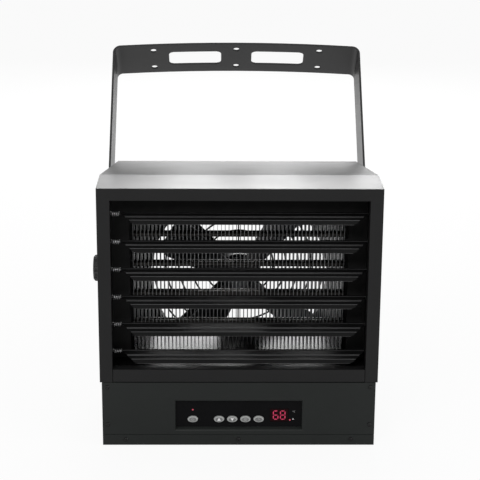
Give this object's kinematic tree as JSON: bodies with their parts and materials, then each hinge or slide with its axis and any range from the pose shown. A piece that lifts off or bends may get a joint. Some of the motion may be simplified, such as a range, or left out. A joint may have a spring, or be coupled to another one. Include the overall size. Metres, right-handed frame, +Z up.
{
  "type": "ceiling mounted fan heater",
  "caption": "Black sheet-metal fan heater with turning louvres, finned heating element, rear axial fan, push-button control panel and a tilting ceiling bracket held by hand knobs.",
  "frame": {"origin": "middle of the underside of the bottom tray; X = 0 is the middle of the case width and Y = 0 is half way between the bezel face and the rear panel", "axes": "+Z up; the louvres and the control panel face -Y; +X is to the right for a viewer who faces the louvres"},
  "size_m": [0.4142, 0.4934, 0.4708],
  "materials": {
    "case_paint": "satin black powder coat, fine grain",
    "panel_paint": "satin black powder coat",
    "louvre_paint": "satin black powder coat",
    "inner_paint": "dull black paint",
    "bracket_paint": "satin black powder coat",
    "zinc_steel": "zinc plated",
    "dark_steel": "darkened steel",
    "spring_steel": "bright wire",
    "fin_metal": "heat-dulled",
    "tube_sheath": "dark heating sheath",
    "fan_metal": "satin",
    "motor_shell": "black enamel",
    "guard_wire": "black coated wire",
    "display_glass": "gloss black",
    "digit_lens": "dark red lens with lit segments",
    "led_lens": "small coloured lenses",
    "button_plastic": "light grey",
    "board": "green circuit board",
    "black_plastic": "moulded black",
    "pale_plastic": "heat-proof resin",
    "iron_core": "varnished core",
    "washer_fibre": "pressed fibre"
  },
  "bodies": {
    "case": {"cabinet": "case_paint", "lower_sides": "panel_paint", "bottom_tray": "panel_paint", "front_bezel": "case_paint", "sill": "case_paint", "rear_panel": "case_paint", "louvre_rail_left": "inner_paint", "louvre_rail_right": "inner_paint", "louvre_springs": "spring_steel", "duct_surround": "inner_paint", "control_box_deck": "inner_paint", "element_fins": "fin_metal", "element_tubes": "tube_sheath", "thermal_cutout": "pale_plastic", "fan_ring": "case_paint", "fan_motor": "motor_shell", "motor_mount": "case_paint", "fan_guard": "guard_wire", "guard_clips": "dark_steel", "control_panel": "panel_paint", "display_panel": "display_glass", "digit_display": "digit_lens", "control_board": "board", "indicator_leds": "led_lens", "terminal_block": "black_plastic", "contactor": "black_plastic", "transformer": "iron_core", "cable_gland": "black_plastic", "gland_nut": "zinc_steel", "pivot_bosses": "dark_steel", "panel_screws": "dark_steel", "tray_screws": "dark_steel", "side_screws": "dark_steel", "guard_screws": "dark_steel"},
    "bracket": {"bracket": "bracket_paint", "friction_washers": "washer_fibre"},
    "louvre_1": {"louvre_1": "louvre_paint", "louvre_rod_1": "dark_steel"},
    "louvre_2": {"louvre_2": "louvre_paint", "louvre_rod_2": "dark_steel"},
    "louvre_3": {"louvre_3": "louvre_paint", "louvre_rod_3": "dark_steel"},
    "louvre_4": {"louvre_4": "louvre_paint", "louvre_rod_4": "dark_steel"},
    "louvre_5": {"louvre_5": "louvre_paint", "louvre_rod_5": "dark_steel"},
    "louvre_6": {"louvre_6": "louvre_paint", "louvre_rod_6": "dark_steel"},
    "fan": {"fan_blades": "fan_metal", "fan_hub": "zinc_steel", "motor_shaft": "zinc_steel"},
    "knob_left": {"knob_left": "black_plastic", "knob_stud_left": "zinc_steel"},
    "knob_right": {"knob_right": "black_plastic", "knob_stud_right": "zinc_steel"},
    "button_power": {"button_power": "button_plastic"},
    "button_up": {"button_up": "button_plastic"},
    "button_down": {"button_down": "button_plastic"},
    "button_mode": {"button_mode": "button_plastic"},
    "button_timer": {"button_timer": "button_plastic"}
  },
  "joints": [
    {"name": "bracket_tilt", "type": "hinge", "parent": "case", "child": "bracket", "pos_m": [0, 0.087, 0.1775], "axis": [1, 0, 0], "range_deg": [-48, 42]},
    {"name": "louvre_1_turn", "type": "hinge", "parent": "case", "child": "louvre_1", "pos_m": [0, -0.099, 0.3116], "axis": [1, 0, 0], "range_deg": [-30, 30]},
    {"name": "louvre_2_turn", "type": "hinge", "parent": "case", "child": "louvre_2", "pos_m": [0, -0.099, 0.2734], "axis": [1, 0, 0], "range_deg": [-30, 30]},
    {"name": "louvre_3_turn", "type": "hinge", "parent": "case", "child": "louvre_3", "pos_m": [0, -0.099, 0.2352], "axis": [1, 0, 0], "range_deg": [-30, 30]},
    {"name": "louvre_4_turn", "type": "hinge", "parent": "case", "child": "louvre_4", "pos_m": [0, -0.099, 0.197], "axis": [1, 0, 0], "range_deg": [-30, 30]},
    {"name": "louvre_5_turn", "type": "hinge", "parent": "case", "child": "louvre_5", "pos_m": [0, -0.099, 0.1588], "axis": [1, 0, 0], "range_deg": [-30, 30]},
    {"name": "louvre_6_turn", "type": "hinge", "parent": "case", "child": "louvre_6", "pos_m": [0, -0.099, 0.1206], "axis": [1, 0, 0], "range_deg": [-30, 8]},
    {"name": "fan_spin", "type": "hinge", "parent": "case", "child": "fan", "pos_m": [0.003, 0.095, 0.158], "axis": [0, 1, 0], "continuous": true},
    {"name": "knob_left_turn", "type": "hinge", "parent": "case", "child": "knob_left", "pos_m": [-0.196, 0.087, 0.1775], "axis": [-1, 0, 0], "continuous": true},
    {"name": "knob_right_turn", "type": "hinge", "parent": "case", "child": "knob_right", "pos_m": [0.196, 0.087, 0.1775], "axis": [1, 0, 0], "continuous": true},
    {"name": "button_power_press", "type": "slide", "parent": "case", "child": "button_power", "axis": [0, 1, 0], "range_m": [0, 0.001], "stiffness_N_per_m": 400},
    {"name": "button_up_press", "type": "slide", "parent": "case", "child": "button_up", "axis": [0, 1, 0], "range_m": [0, 0.001], "stiffness_N_per_m": 400},
    {"name": "button_down_press", "type": "slide", "parent": "case", "child": "button_down", "axis": [0, 1, 0], "range_m": [0, 0.001], "stiffness_N_per_m": 400},
    {"name": "button_mode_press", "type": "slide", "parent": "case", "child": "button_mode", "axis": [0, 1, 0], "range_m": [0, 0.001], "stiffness_N_per_m": 400},
    {"name": "button_timer_press", "type": "slide", "parent": "case", "child": "button_timer", "axis": [0, 1, 0], "range_m": [0, 0.001], "stiffness_N_per_m": 400}
  ]
}
